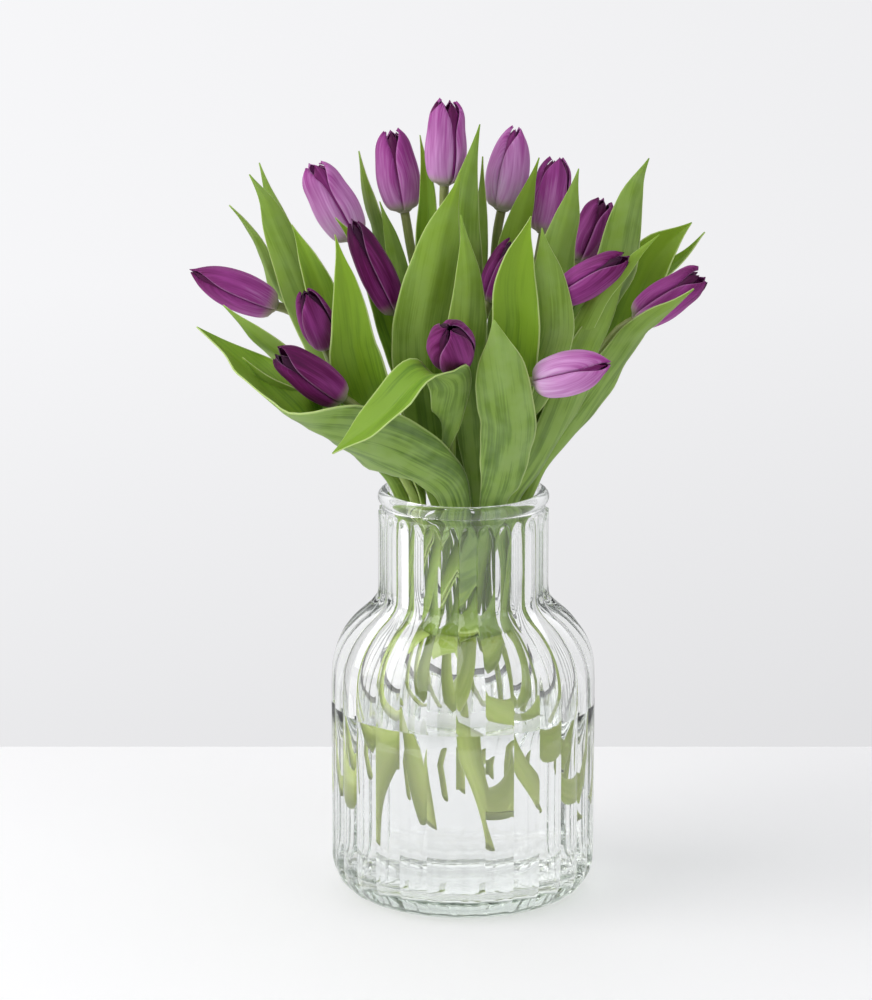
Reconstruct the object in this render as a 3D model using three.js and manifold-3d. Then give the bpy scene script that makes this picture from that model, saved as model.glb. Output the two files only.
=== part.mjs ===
// A bunch of fifteen purple tulips standing in a fluted glass vase that is half full of water.
// Units are millimetres, +Z is up, and the origin is the centre of the vase's flat underside.
// The front of the bunch faces -Y and +X is to its right.
//
// Every separate piece is one named mesh: the vase, the water, and for each tulip its stem, its
// bloom of six petals and each of its leaves.
import * as THREE from "three";
import { mergeVertices } from "three/addons/utils/BufferGeometryUtils.js";
import Module from "manifold-3d";

const wasm = await Module();
wasm.setup();

// ---------------------------------------------------------------- driving dimensions

const GAP = 0.3; // clearance between pieces that touch

const VASE = {
  flutes: 28,
  bodyRadius: 76,
  neckRadius: 48,
  wall: 4,
  floor: 12, // thickness of the glass underfoot
  underside: 58, // radius of the flat that it stands on
  heel: 22, // height at which the rounded heel meets the straight body
  shoulder: 124, // height at which the body starts to turn in
  neckFoot: 184, // height at which the neck is straight
  rimHeight: 235, // centre of the rolled rim
  rimRadius: 45.3,
  rimBead: 4, // radius of the bead itself
};
const WATER_LEVEL = 112;

const STEM = { sides: 6, segments: 8, footRadius: 3.3, crownRadius: 2.6, footSpread: 2, footMargin: 4 };
const LEAF = { segments: 9, across: 4, thickness: 0.8, slack: 0.55, sheathTurn: 160, tipWidth: 1.4, widest: 0.45, blunt: 2.5 };
const PETAL = { thickness: 0.7, spacing: 1.9, least: 0.6 };

// ---------------------------------------------------------------- colours

const glass = new THREE.MeshStandardMaterial({ color: 0xdfe9e4, roughness: 0.05, transparent: true, opacity: 0.35 });
const clearWater = new THREE.MeshStandardMaterial({ color: 0xe6f0ee, roughness: 0.02, transparent: true, opacity: 0.3 });
const stemGreen = new THREE.MeshStandardMaterial({ color: 0x8fae4a, roughness: 0.5 });
const leafGreen = new THREE.MeshStandardMaterial({ color: 0x5f8a2f, roughness: 0.55 });
const petalPurple = new THREE.MeshStandardMaterial({ color: 0x8a3f8f, roughness: 0.6 });

// ---------------------------------------------------------------- the bunch

// Each tulip hangs with its foot in the water, passes just inside the rim at `neck` (an angle about the
// vase's axis and a distance from it), and ends at `crown`, where the bloom begins. The bloom points from
// `crown` to `tip`; `girth` is its widest diameter and `turn` the way its first outer petal faces, in
// degrees about its own axis. `loose` is how far a bloom's top stands apart, as a share of its radius, or
// less than none on a tight bud. Every foot is swung the same way round from its neck point, as in a
// hand-tied bunch, so that the stems pass without touching.
//
// Each leaf clasps its stem at height `base`, on the side that `side` names, in degrees about the
// vertical (0 is +X, 270 the front). Its midrib then runs through the points of `path` to its tip.
// `faces` says which way its outer, convex side looks along the way, `cup` is how far round its
// cross-section bends at mid-blade, in degrees, and `widest` the share of its length where it is widest.
const NECK_HEIGHT = 222;
const SWING = 80;

const FRONT = [0, -1, 0];
const BACK = [0, 1, 0];
const BACK_BELOW = [0.4, 0.6, -0.8];

const tulips = [
  {
    foot: 44, neck: [110, 12], crown: [-11, 20, 413], tip: [-10, 18, 462], girth: 24, turn: 127, loose: 0.3,
    leaves: [
      { base: 204, side: 290, width: 26, cup: 60, faces: [FRONT], path: [[-2, 4, 240], [-1, 3, 292], [1, 5, 349], [2, 6, 401], [9, 8, 449]] },
      { base: 250, side: 110, width: 15, cup: 60, faces: [BACK], path: [[-11, 22, 285], [-18, 27, 331], [-22, 29, 377], [-22, 30, 406], [-25, 32, 439]] },
    ],
  },
  {
    foot: 48, neck: [115, 31], crown: [-34, 40, 394], tip: [-42, 42, 441], girth: 25, turn: 94, loose: 0.15,
    leaves: [
      { base: 270, side: 40, width: 24, cup: 60, faces: [BACK], path: [[-10, 46, 285], [-6, 62, 315], [-4, 73, 348], [-8, 78, 374]] },
      { base: 248, side: 200, width: 19, cup: 70, faces: [[-0.8, -0.6, 0]], path: [[-27, 34, 280], [-42, 38, 331], [-50, 42, 377], [-57, 43, 406], [-60, 43, 428]] },
    ],
  },
  {
    foot: 40, neck: [145, 31], crown: [-63, 28, 380], tip: [-87, 30, 423], girth: 26, turn: 107, loose: 0.25,
    leaves: [
      { base: 246, side: 140, width: 20, cup: 70, faces: [[-0.8, 0.8, 0], [-0.5, -0.9, 0]], path: [[-50, 30, 275], [-77, 36, 320], [-100, 38, 366], [-112, 38, 401], [-117, 38, 422]] },
      { base: 264, side: 290, width: 14, cup: 60, faces: [FRONT], path: [[-30, 17, 290], [-35, 20, 345], [-41, 24, 374], [-48, 24, 402]] },
    ],
  },
  {
    foot: 50, neck: [230, 12], crown: [-38, -10, 344], tip: [-63, -16, 398], girth: 20, turn: 93, loose: 0.1,
    leaves: [
      { base: 198, side: 275, width: 37, widest: 0.58, blunt: 1.9, cup: 60, faces: [FRONT], path: [[-13, -16, 240], [-16, -19, 262], [-21, -26, 299], [-23, -31, 340], [-16, -32, 391], [-2, -28, 427]] },
      { base: 248, side: 100, width: 18, cup: 50, faces: [BACK], path: [[-22, 0, 272], [-38, 5, 325], [-51, 5, 359], [-63, 5, 382], [-73, 5, 396]] },
    ],
  },
  {
    foot: 55, neck: [175, 31], crown: [-107, -5, 347], tip: [-155, -12, 369], girth: 23, turn: 90, loose: -0.1,
    leaves: [
      { base: 246, side: 290, width: 27, cup: 60, faces: [[0.2, -1, 0]], path: [[-50, -5, 270], [-70, -7, 310], [-91, -10, 356], [-106, -10, 388], [-113, -10, 408], [-121, -8, 423]] },
      { base: 248, side: 110, width: 16, cup: 70, faces: [[-0.9, 0.4, 0], [-0.7, -0.7, 0]], path: [[-52, 13, 268], [-80, 18, 317], [-106, 14, 352], [-119, 10, 382], [-126, 8, 394], [-133, 6, 403]] },
    ],
  },
  {
    foot: 42, neck: [203, 31], crown: [-78, -32, 330], tip: [-89, -54, 365], girth: 20, turn: 45, loose: 0.15,
    leaves: [
      { base: 268, side: 60, width: 20, cup: 60, faces: [BACK], path: [[-55, -12, 290], [-66, -15, 313], [-80, -21, 353], [-89, -21, 376], [-97, -17, 396]] },
      { base: 247, side: 225, width: 18, cup: 70, faces: [[0, -0.8, -0.6]], path: [[-57, -24, 270], [-78, -36, 300], [-104, -40, 325], [-121, -40, 340], [-135, -38, 354]] },
    ],
  },
  {
    foot: 60, neck: [230, 30.5], crown: [-68, -62, 306], tip: [-104, -74, 336], girth: 23, turn: 89, loose: 0.2,
    leaves: [
      { base: 246, side: 45, width: 34, blunt: 1.3, cup: 50, faces: [BACK], path: [[-42, -34, 275], [-53, -46, 299], [-64, -52, 340], [-70, -52, 375], [-72, -48, 396]] },
    ],
  },
  {
    foot: 46, neck: [262, 31], crown: [-6, -60, 327], tip: [-9, -100, 354], girth: 27, turn: 60, loose: -0.08,
    leaves: [
      { base: 196, side: 275, width: 48, widest: 0.5, cup: 100, faces: [FRONT, [0, -0.9, -0.4], [0, -0.9, -0.4], [0, -0.7, -0.7], [0, 0.1, -1]], path: [[-4, -38, 236], [-9, -46, 251], [-26, -61, 266], [-46, -70, 278], [-67, -75, 286], [-88, -74, 295], [-108, -63, 308], [-127, -50, 323], [-150, -40, 342]] },
      { base: 264, side: 190, width: 30, widest: 0.58, cup: 60, faces: [FRONT, [0.2, -0.9, -0.3], [0.2, 0.2, -0.9], [0.3, 0.6, -0.7]], path: [[-12, -42, 278], [-9, -60, 297], [-8, -79, 319], [-22, -92, 327], [-46, -98, 307], [-73, -96, 282]] },
    ],
  },
  {
    foot: 52, neck: [80, 31], crown: [22, 44, 394], tip: [31, 48, 442], girth: 25, turn: 66,
    leaves: [
      { base: 246, side: 190, width: 13, cup: 60, faces: [[-0.6, -0.8, 0]], path: [[2, 38, 280], [6, 40, 339], [10, 37, 374], [11, 34, 403], [11, 36, 426]] },
      { base: 262, side: 30, width: 26, cup: 60, faces: [BACK], path: [[18, 50, 285], [26, 64, 315], [32, 76, 350], [30, 82, 378]] },
    ],
  },
  {
    foot: 58, neck: [50, 31], crown: [46, 40, 381], tip: [54, 46, 424], girth: 23, turn: 45, loose: 0.2,
    leaves: [
      { base: 250, side: 230, width: 23, blunt: 2, cup: 60, faces: [FRONT], path: [[22, 19, 285], [24, 21, 327], [30, 24, 374], [38, 26, 405], [43, 26, 427]] },
      { base: 248, side: 40, width: 18, cup: 70, faces: [BACK_BELOW], path: [[42, 34, 275], [79, 42, 324], [108, 44, 350], [128, 44, 366], [139, 42, 381]] },
    ],
  },
  {
    foot: 43, neck: [20, 31], crown: [66, 28, 366], tip: [81, 34, 402], girth: 21, turn: 95, loose: 0.25,
    leaves: [
      { base: 248, side: 250, width: 25, cup: 60, faces: [FRONT], path: [[38, 4, 275], [46, 4, 315], [54, 5, 370], [61, 6, 397], [65, 6, 424]] },
      { base: 285, side: 310, width: 26, cup: 60, faces: [[0.1, -1, 0]], path: [[59, 11, 315], [75, 9, 342], [88, 9, 370], [95, 10, 395], [99, 11, 413], [105, 12, 429]] },
    ],
  },
  {
    foot: 50, neck: [322, 31], crown: [54, -34, 358], tip: [91, -48, 384], girth: 21, turn: 60, loose: 0.1,
    leaves: [
      { base: 262, side: 260, width: 27, cup: 50, faces: [FRONT], path: [[30, -35, 288], [39, -44, 312], [48, -50, 337], [50, -50, 366], [43, -50, 400]] },
      { base: 204, side: 325, width: 31, cup: 80, faces: [[0.8, -0.6, -0.3], [0.5, -1, -0.3]], path: [[30, -24, 237], [41, -27, 256], [55, -31, 284], [71, -31, 324], [82, -28, 347], [90, -26, 369]] },
    ],
  },
  {
    foot: 57, neck: [350, 31], crown: [98, -4, 339], tip: [136, -10, 366], girth: 23, turn: 60, loose: 0.25,
    leaves: [
      { base: 282, side: 60, width: 32, widest: 0.55, cup: 70, faces: [[0.2, 1, -0.3]], path: [[75, 7, 306], [91, 23, 326], [99, 32, 345], [112, 35, 366], [131, 34, 388]] },
      { base: 246, side: 300, width: 24, cup: 60, faces: [[0.4, -0.8, -0.5]], path: [[54, -13, 268], [70, -14, 292], [92, -17, 325], [105, -27, 342], [119, -31, 353], [129, -31, 362]] },
    ],
  },
  {
    foot: 45, neck: [300, 31], crown: [40, -69, 317], tip: [81, -88, 331], girth: 25, turn: 60, loose: -0.12,
    leaves: [
      { base: 206, side: 280, width: 32, widest: 0.62, blunt: 3.4, cup: 40, faces: [FRONT], path: [[17, -35.5, 236], [21, -51, 256], [24, -69, 284], [24, -84, 318], [20, -87, 341], [16, -84, 355]] },
      { base: 262, side: 60, width: 29, cup: 50, faces: [BACK], path: [[24, -46, 290], [29, -56, 343], [31, -56, 372], [37, -52, 407]] },
    ],
  },
  {
    foot: 56, neck: [350, 12], crown: [15, -4, 350], tip: [28, -9, 386], girth: 19, turn: 60,
    leaves: [
      { base: 208, side: 245, width: 26, widest: 0.55, blunt: 1.7, cup: 40, faces: [FRONT], path: [[7, -13, 250], [4, -27, 290], [0, -41, 325], [0, -44, 371], [-2, -42, 406]] },
    ],
  },
];

// ---------------------------------------------------------------- helpers

const vector = (p) => new THREE.Vector3(...p);
const radians = THREE.MathUtils.degToRad;
const smooth = (low, high, x) => THREE.MathUtils.smoothstep(x, low, high);
const mix = THREE.MathUtils.lerp;
const curveThrough = (points) => new THREE.CatmullRomCurve3(points, false, "centripetal");

// Joins a row of closed rings, each with the same number of points, into one closed body. A ring runs
// along one face and back along the other, and both faces are split into triangles the same way.
function loft(rings) {
  const count = rings[0].length;
  const half = count / 2;
  const positions = rings.flat().flatMap((p) => [p.x, p.y, p.z]);
  const index = [];
  const quad = (a, b, c, d) => index.push(a, b, c, a, c, d);
  for (let row = 0; row + 1 < rings.length; row++) {
    for (let j = 0; j < count; j++) {
      const next = (j + 1) % count;
      const corners = [row * count + j, row * count + next, (row + 1) * count + next, (row + 1) * count + j];
      if (j < half - 1) quad(corners[0], corners[1], corners[2], corners[3]);
      else quad(corners[1], corners[2], corners[3], corners[0]);
    }
  }
  const last = (rings.length - 1) * count;
  for (let j = 0; j + 1 < half; j++) {
    const across = count - 1 - j;
    quad(j, across, across - 1, j + 1);
    quad(last + j, last + j + 1, last + across - 1, last + across);
  }
  const geometry = new THREE.BufferGeometry();
  geometry.setAttribute("position", new THREE.Float32BufferAttribute(positions, 3));
  geometry.setIndex(index);
  return geometry;
}

function solidOf(geometry) {
  const bare = geometry.clone();
  bare.deleteAttribute("normal");
  bare.deleteAttribute("uv");
  const merged = mergeVertices(bare, 1e-3);
  return new wasm.Manifold(
    new wasm.Mesh({
      numProp: 3,
      vertProperties: merged.attributes.position.array,
      triVerts: new Uint32Array(merged.index.array),
    }),
  );
}

function geometryOf(solid) {
  const mesh = solid.getMesh();
  const geometry = new THREE.BufferGeometry();
  geometry.setAttribute("position", new THREE.BufferAttribute(new Float32Array(mesh.vertProperties), 3));
  geometry.setIndex(new THREE.BufferAttribute(new Uint32Array(mesh.triVerts), 1));
  geometry.computeVertexNormals();
  return geometry;
}

const group = new THREE.Group();

function addPiece(name, geometry, material) {
  const mesh = new THREE.Mesh(geometry, material);
  mesh.name = name;
  group.add(mesh);
  return mesh;
}

// ---------------------------------------------------------------- vase and water

const bodyInside = VASE.bodyRadius - VASE.wall;
const neckInside = VASE.neckRadius - VASE.wall;

// The shoulder's outline leaves the body upright and ends upright in the neck. Each pair is a share of
// the way out from neck to body, and a share of the way up.
const SHOULDER = [[1, 0], [0.961, 0.25], [0.807, 0.45], [0.518, 0.633], [0.179, 0.775], [0.021, 0.883], [0, 1]];

function shoulderLine(inset) {
  const rise = VASE.neckFoot - VASE.shoulder;
  return SHOULDER.map(([out, up]) => {
    const radius = mix(VASE.neckRadius, VASE.bodyRadius, out) - inset;
    const lowered = up > 0 && up < 1 ? 0.6 * inset : 0;
    return new THREE.Vector2(radius, VASE.shoulder + rise * up - lowered);
  });
}

// A quarter turn from a flat of radius `flat` at the bottom to a wall of radius `radius` at the top.
function heelLine(radius, bottom, flat, top, steps) {
  const points = [];
  for (let i = 0; i <= steps; i++) {
    const a = (i / steps) * (Math.PI / 2);
    points.push(new THREE.Vector2(flat + (radius - flat) * Math.sin(a), top - (top - bottom) * Math.cos(a)));
  }
  return points;
}

const waterLine = (inset) =>
  heelLine(bodyInside - inset, VASE.floor + inset, VASE.underside - 6, VASE.floor + 16, 3);

function vaseProfile() {
  const bead = [];
  for (let i = 0; i <= 6; i++) {
    const a = radians(mix(-60, 240, i / 6));
    const radius = VASE.rimRadius + VASE.rimBead * Math.cos(a);
    bead.push(new THREE.Vector2(radius, VASE.rimHeight + VASE.rimBead * Math.sin(a)));
  }
  return [
    new THREE.Vector2(0, 0),
    ...heelLine(VASE.bodyRadius, 0, VASE.underside, VASE.heel, 4),
    ...shoulderLine(0),
    new THREE.Vector2(VASE.neckRadius, VASE.rimHeight - 7),
    ...bead,
    new THREE.Vector2(neckInside, VASE.rimHeight - 7),
    ...shoulderLine(VASE.wall).reverse(),
    ...waterLine(0).reverse(),
    new THREE.Vector2(0, VASE.floor),
  ];
}

// A corner of the many-sided glass stands at each flute's ridge.
const turned = (profile) => new THREE.LatheGeometry(profile, VASE.flutes).rotateX(Math.PI / 2);

function waterSolid() {
  const inset = GAP + 0.1;
  const profile = [
    new THREE.Vector2(0, VASE.floor + inset),
    ...waterLine(inset),
    new THREE.Vector2(bodyInside - inset, WATER_LEVEL),
    new THREE.Vector2(0, WATER_LEVEL),
  ];
  return solidOf(turned(profile));
}

// ---------------------------------------------------------------- stems

const bloomAxis = (tulip) => vector(tulip.tip).sub(vector(tulip.crown)).normalize();

function stemLine(tulip) {
  const [angle, distance] = tulip.neck;
  const polar = (degrees, r, z) => {
    const a = radians(degrees);
    return new THREE.Vector3(r * Math.cos(a), r * Math.sin(a), z);
  };
  const axis = bloomAxis(tulip);
  const crown = vector(tulip.crown);
  return curveThrough([
    polar(angle + SWING, distance * STEM.footSpread + STEM.footMargin, tulip.foot),
    polar(angle, distance, NECK_HEIGHT),
    crown.clone().addScaledVector(axis, -14),
    crown.clone().addScaledVector(axis, -GAP),
  ]);
}

const stemRadius = (along) => mix(STEM.footRadius, STEM.crownRadius, along);

// A round rod along the stem's line, `spare` larger than the stem all round and at its foot.
function stemBody(line, spare) {
  const rings = [];
  for (let i = 0; i <= STEM.segments; i++) {
    const along = i / STEM.segments;
    const centre = line.getPointAt(along);
    const tangent = line.getTangentAt(along);
    if (i === 0) centre.addScaledVector(tangent, -spare);
    const side = new THREE.Vector3(0, 1, 0).addScaledVector(tangent, -tangent.y).normalize();
    const other = new THREE.Vector3().crossVectors(tangent, side);
    const r = stemRadius(along) + spare;
    const ring = [];
    for (let j = 0; j < STEM.sides; j++) {
      const a = (j / STEM.sides) * 2 * Math.PI;
      ring.push(centre.clone().addScaledVector(side, r * Math.cos(a)).addScaledVector(other, r * Math.sin(a)));
    }
    rings.push(ring);
  }
  return loft(rings);
}

// The share of a rising line's length at which it reaches `height`.
function shareAtHeight(line, height) {
  let low = 0;
  let high = 1;
  for (let i = 0; i < 30; i++) {
    const middle = (low + high) / 2;
    if (line.getPointAt(middle).z < height) low = middle;
    else high = middle;
  }
  return low;
}

// ---------------------------------------------------------------- leaves

// A leaf is a clasping sheath at its foot, widens to mid-blade and runs out in a point.
function leafWidth(leaf, along, sheathWidth) {
  const widest = leaf.widest ?? LEAF.widest;
  const grown = mix(sheathWidth / leaf.width, 1, smooth(0.02, widest, along));
  const past = Math.max(0, (along - widest) / (1 - widest));
  return Math.max(LEAF.tipWidth, leaf.width * Math.min(grown, 1 - past ** (leaf.blunt ?? LEAF.blunt)));
}

function leafTurn(leaf, along) {
  const opened = mix(LEAF.sheathTurn, leaf.cup, smooth(0.04, 0.3, along));
  return radians(mix(opened, 0.6 * leaf.cup, smooth(0.5, 1, along)));
}

function facing(leaf, out, along) {
  const hints = [out, ...leaf.faces.map(vector)];
  const place = Math.min(1, Math.max(0, (along - 0.08) / 0.6)) * (hints.length - 1);
  const first = Math.min(hints.length - 2, Math.floor(place));
  return hints[first].clone().normalize().lerp(hints[first + 1].clone().normalize(), place - first);
}

function leafBody(leaf, stem) {
  const share = shareAtHeight(stem, leaf.base);
  const grown = stem.getTangentAt(share);
  const out = new THREE.Vector3(Math.cos(radians(leaf.side)), Math.sin(radians(leaf.side)), 0);
  out.addScaledVector(grown, -out.dot(grown)).normalize();
  const hold = stemRadius(share) + GAP + LEAF.thickness / 2 + LEAF.slack;
  const sheathWidth = hold * radians(LEAF.sheathTurn);
  const foot = stem.getPointAt(share).addScaledVector(out, hold);
  const collar = stem.getPointAt(shareAtHeight(stem, leaf.base + 9)).addScaledVector(out, hold + 0.7);
  const midrib = curveThrough([foot, collar, ...leaf.path.map(vector)]);
  const rings = [];
  for (let i = 0; i <= LEAF.segments; i++) {
    const along = i / LEAF.segments;
    const centre = midrib.getPointAt(along);
    const tangent = midrib.getTangentAt(along);
    const hint = facing(leaf, out, along);
    const normal = hint.addScaledVector(tangent, -hint.dot(tangent)).normalize();
    const across = new THREE.Vector3().crossVectors(tangent, normal);
    const turn = leafTurn(leaf, along);
    const radius = leafWidth(leaf, along, sheathWidth) / turn;
    const outer = [];
    const inner = [];
    for (let j = 0; j <= LEAF.across; j++) {
      const a = (j / LEAF.across - 0.5) * turn;
      const outward = normal.clone().multiplyScalar(Math.cos(a)).addScaledVector(across, Math.sin(a));
      const point = centre.clone().addScaledVector(normal, -radius).addScaledVector(outward, radius);
      outer.push(point.clone().addScaledVector(outward, LEAF.thickness / 2));
      inner.unshift(point.clone().addScaledVector(outward, -LEAF.thickness / 2));
    }
    rings.push([...outer, ...inner]);
  }
  return loft(rings);
}

// ---------------------------------------------------------------- blooms

// The closed flower's outline: a share of its widest radius, and a share of its height.
const BUD = [[0.4, 0], [0.68, 0.05], [0.88, 0.16], [1, 0.38], [0.95, 0.57], [0.77, 0.77], [0.48, 0.92], [0.2, 1]];
const budLine = curveThrough(BUD.map(([r, z]) => new THREE.Vector3(r, 0, z)));

const budRadius = (along) => budLine.getPointAt(shareAtHeight(budLine, along)).x;

// One petal of a bloom that stands upright at the origin.
function petalBody({ radius, loose, inset, height, faces, spread, across, levels }) {
  const rings = [];
  for (const along of levels) {
    const r = Math.max(PETAL.least, radius * (budRadius(along) + loose * smooth(0.6, 1, along)) - inset);
    const half = radians(spread) * (1 - 0.85 * Math.max(0, (along - 0.6) / 0.4) ** 2);
    const outer = [];
    const inner = [];
    for (let j = 0; j <= across; j++) {
      const share = (2 * j) / across - 1;
      const a = radians(faces) + half * share;
      const tucked = r * (1 - 0.06 * share * share);
      const at = (rr) => new THREE.Vector3(rr * Math.cos(a), rr * Math.sin(a), height * along);
      outer.push(at(tucked));
      inner.unshift(at(Math.max(0.3, tucked - PETAL.thickness)));
    }
    rings.push([...outer, ...inner]);
  }
  return loft(rings);
}

function bloomSolid(tulip) {
  const height = vector(tulip.tip).distanceTo(vector(tulip.crown));
  const radius = tulip.girth / 2;
  const cup = [[0, 0], [3.2, 0], [0.64 * radius, 0.6], [0.64 * radius, 1.3], [0, 1.3]];
  const turnedCup = new THREE.LatheGeometry(cup.map(([r, z]) => new THREE.Vector2(r, z)), 8);
  let bloom = solidOf(turnedCup.rotateX(Math.PI / 2));
  for (let k = 0; k < 6; k++) {
    const outside = k % 2 === 0;
    const petal = petalBody({
      radius,
      loose: tulip.loose ?? 0,
      inset: outside ? 0 : PETAL.spacing,
      height: outside ? height : height * 0.97,
      faces: 60 * k,
      spread: outside ? 58 : 48,
      across: outside ? 3 : 2,
      levels: outside ? [0.02, 0.14, 0.42, 0.78, 1] : [0.02, 0.42, 0.78, 1],
    });
    bloom = bloom.add(solidOf(petal));
  }
  return bloom;
}

// ---------------------------------------------------------------- assembly

addPiece("vase", turned(vaseProfile()), glass);

let water = waterSolid();
tulips.forEach((tulip, number) => {
  const name = `tulip_${String(number + 1).padStart(2, "0")}`;
  const stem = stemLine(tulip);
  addPiece(`${name}_stem`, stemBody(stem, 0), stemGreen);
  water = water.subtract(solidOf(stemBody(stem, GAP + 0.1)));

  const bloom = addPiece(`${name}_bloom`, geometryOf(bloomSolid(tulip)), petalPurple);
  bloom.position.set(...tulip.crown);
  bloom.quaternion.setFromUnitVectors(new THREE.Vector3(0, 0, 1), bloomAxis(tulip));
  bloom.rotateZ(radians(tulip.turn));

  tulip.leaves.forEach((leaf, i) => addPiece(`${name}_leaf_${i + 1}`, leafBody(leaf, stem), leafGreen));
});
addPiece("water", geometryOf(water), clearWater);

export default group;
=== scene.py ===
# %% [markdown]
# # Purple tulips in a fluted glass vase
# Fifteen tulips in bud stand in a clear glass vase that is half full of water. Each piece of the bunch
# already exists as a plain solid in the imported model. This lesson loads those solids as a fixed frame,
# then builds a finer piece over each of them, so the shapes agree and only the finish gets richer.

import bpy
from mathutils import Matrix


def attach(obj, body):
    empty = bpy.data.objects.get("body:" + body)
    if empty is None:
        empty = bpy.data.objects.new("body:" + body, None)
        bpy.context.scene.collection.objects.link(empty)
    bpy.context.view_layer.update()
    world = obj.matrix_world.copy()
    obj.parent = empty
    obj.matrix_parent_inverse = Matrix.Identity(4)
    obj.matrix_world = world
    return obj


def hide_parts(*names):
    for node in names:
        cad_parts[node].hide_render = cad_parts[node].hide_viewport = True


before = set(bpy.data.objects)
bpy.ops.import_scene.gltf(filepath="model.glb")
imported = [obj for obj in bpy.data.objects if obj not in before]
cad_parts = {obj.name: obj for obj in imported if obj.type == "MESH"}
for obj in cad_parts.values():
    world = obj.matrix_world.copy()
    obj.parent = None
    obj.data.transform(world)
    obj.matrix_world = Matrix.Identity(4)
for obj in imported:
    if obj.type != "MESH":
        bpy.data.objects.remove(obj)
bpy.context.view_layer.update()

import math
import random

import bmesh
import bpy
from mathutils import Matrix, Vector

print("solids in the frame:", len(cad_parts))

# %% [markdown]
# ## Where the camera stands
# A long lens from 2.6 m away keeps the vase's sides nearly parallel, as a product shot does. The camera
# looks a little down on the rim, so the mouth of the vase reads as a flat oval.

# %% Camera
AIM = Vector((-0.0158, 0.0, 0.2323))
DISTANCE, ELEVATION = 2.6, math.radians(13.7)

lens = bpy.data.cameras.new("camera")
lens.lens, lens.sensor_width = 162.8, 36.0
camera = bpy.data.objects.new("camera", lens)
back = Vector((0.0, -math.cos(ELEVATION), math.sin(ELEVATION)))
camera.location = AIM + DISTANCE * back
camera.rotation_euler = (-back).to_track_quat("-Z", "Y").to_euler()
bpy.context.collection.objects.link(camera)
bpy.context.scene.camera = camera
print("camera at", [round(x, 3) for x in camera.location])

# %% [markdown]
# ## Helpers for materials
# Colours are picked as sRGB hex values, as on any screen, but a renderer adds light up in linear
# values, so one function turns them. Another adds one node with its settings and its links, and the
# short ones after it stand for what every material below does more than once.

# %% Colour and node helpers
def linear(hex_colour):
    """An sRGB hex colour as linear red, green, blue and alpha."""
    parts = [int(hex_colour[i:i + 2], 16) / 255 for i in (1, 3, 5)]
    return [c / 12.92 if c <= 0.04045 else ((c + 0.055) / 1.055) ** 2.4 for c in parts] + [1.0]


def add(tree, kind, settings=None, links=None):
    """Adds a node. `settings` are its own options, and `stops` those of a colour ramp. `links` are its
    inputs by name or number: a value, or the output of another node."""
    node = tree.nodes.new("ShaderNode" + kind)
    for name, value in (settings or {}).items():
        if name == "stops":
            ramp = node.color_ramp
            while len(ramp.elements) < len(value):
                ramp.elements.new(0.5)
            for element, (place, colour) in zip(ramp.elements, value):
                element.position, element.color = place, linear(colour)
        else:
            setattr(node, name, value)
    for name, value in (links or {}).items():
        socket = node.inputs[name]
        if isinstance(value, bpy.types.NodeSocket):
            tree.links.new(value, socket)
        else:
            socket.default_value = value
    return node


def new_material(name):
    """An empty material and its node tree, with the output node in it."""
    material = bpy.data.materials.new(name)
    material.use_nodes = True
    material.node_tree.nodes.clear()
    return material, material.node_tree


def calc(tree, operation, *values, clamp=False):
    """One step of arithmetic on numbers or outputs."""
    node = add(tree, "Math", {"operation": operation, "use_clamp": clamp}, dict(enumerate(values)))
    return node.outputs[0]


def ranged(tree, value, low, high, start, end, curve="LINEAR"):
    """Carries `value` from the range low..high over to start..end, and holds it there beyond."""
    node = add(tree, "MapRange", {"interpolation_type": curve}, {
        "Value": value, "From Min": low, "From Max": high, "To Min": start, "To Max": end})
    return node.outputs[0]


def softly(tree, value, low, high, start, end):
    """The same, with a gentle start and end."""
    return ranged(tree, value, low, high, start, end, "SMOOTHSTEP")


def laid_over(tree, share, under, over):
    """The colour `over` on top of `under`, by `share`."""
    node = add(tree, "Mix", {"data_type": "RGBA"}, {0: share, 6: under, 7: over})
    return node.outputs[2]


def measures(tree):
    """What a piece's `place` attribute holds, as three outputs."""
    place = add(tree, "Attribute", {"attribute_name": "place"})
    return add(tree, "SeparateXYZ", {}, {0: place.outputs["Vector"]}).outputs[0:3]


def grain(tree, gap, run, shift, detail=2.0, roughness=0.5):
    """Streaks `gap` mm apart and some `run` mm long, laid out by the `blade` attribute. Its third value
    times `shift` gives each piece streaks of its own."""
    blade = add(tree, "Attribute", {"attribute_name": "blade"})
    space = add(tree, "VectorMath", {"operation": "MULTIPLY"}, {
        0: blade.outputs["Vector"], 1: (1 / gap, 1 / run, shift)})
    noise = add(tree, "TexNoise", {}, {
        "Vector": space.outputs[0], "Scale": 1.0, "Detail": detail, "Roughness": roughness})
    return noise.outputs["Fac"]


print("pale green in linear light:", [round(c, 3) for c in linear("#8fae4a")])

# %% [markdown]
# ## Soda-lime glass
# The vase is pressed soda-lime glass, which is what most household glass is. Its IOR is about 1.52. A
# trace of iron tints it grey-green, which shows only where the glass is thick, at the foot and in the
# rim. The mould leaves the surface fire-polished, so the roughness is close to zero.
#
# Real glass lets daylight through onto the table. A path tracer finds such light only by luck, so
# shadow rays see a tinted transparent sheet instead of glass.

# %% Glass and water
DENSITY = 10.0                     # absorption by the metre, so that its colour holds for 10 cm


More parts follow.
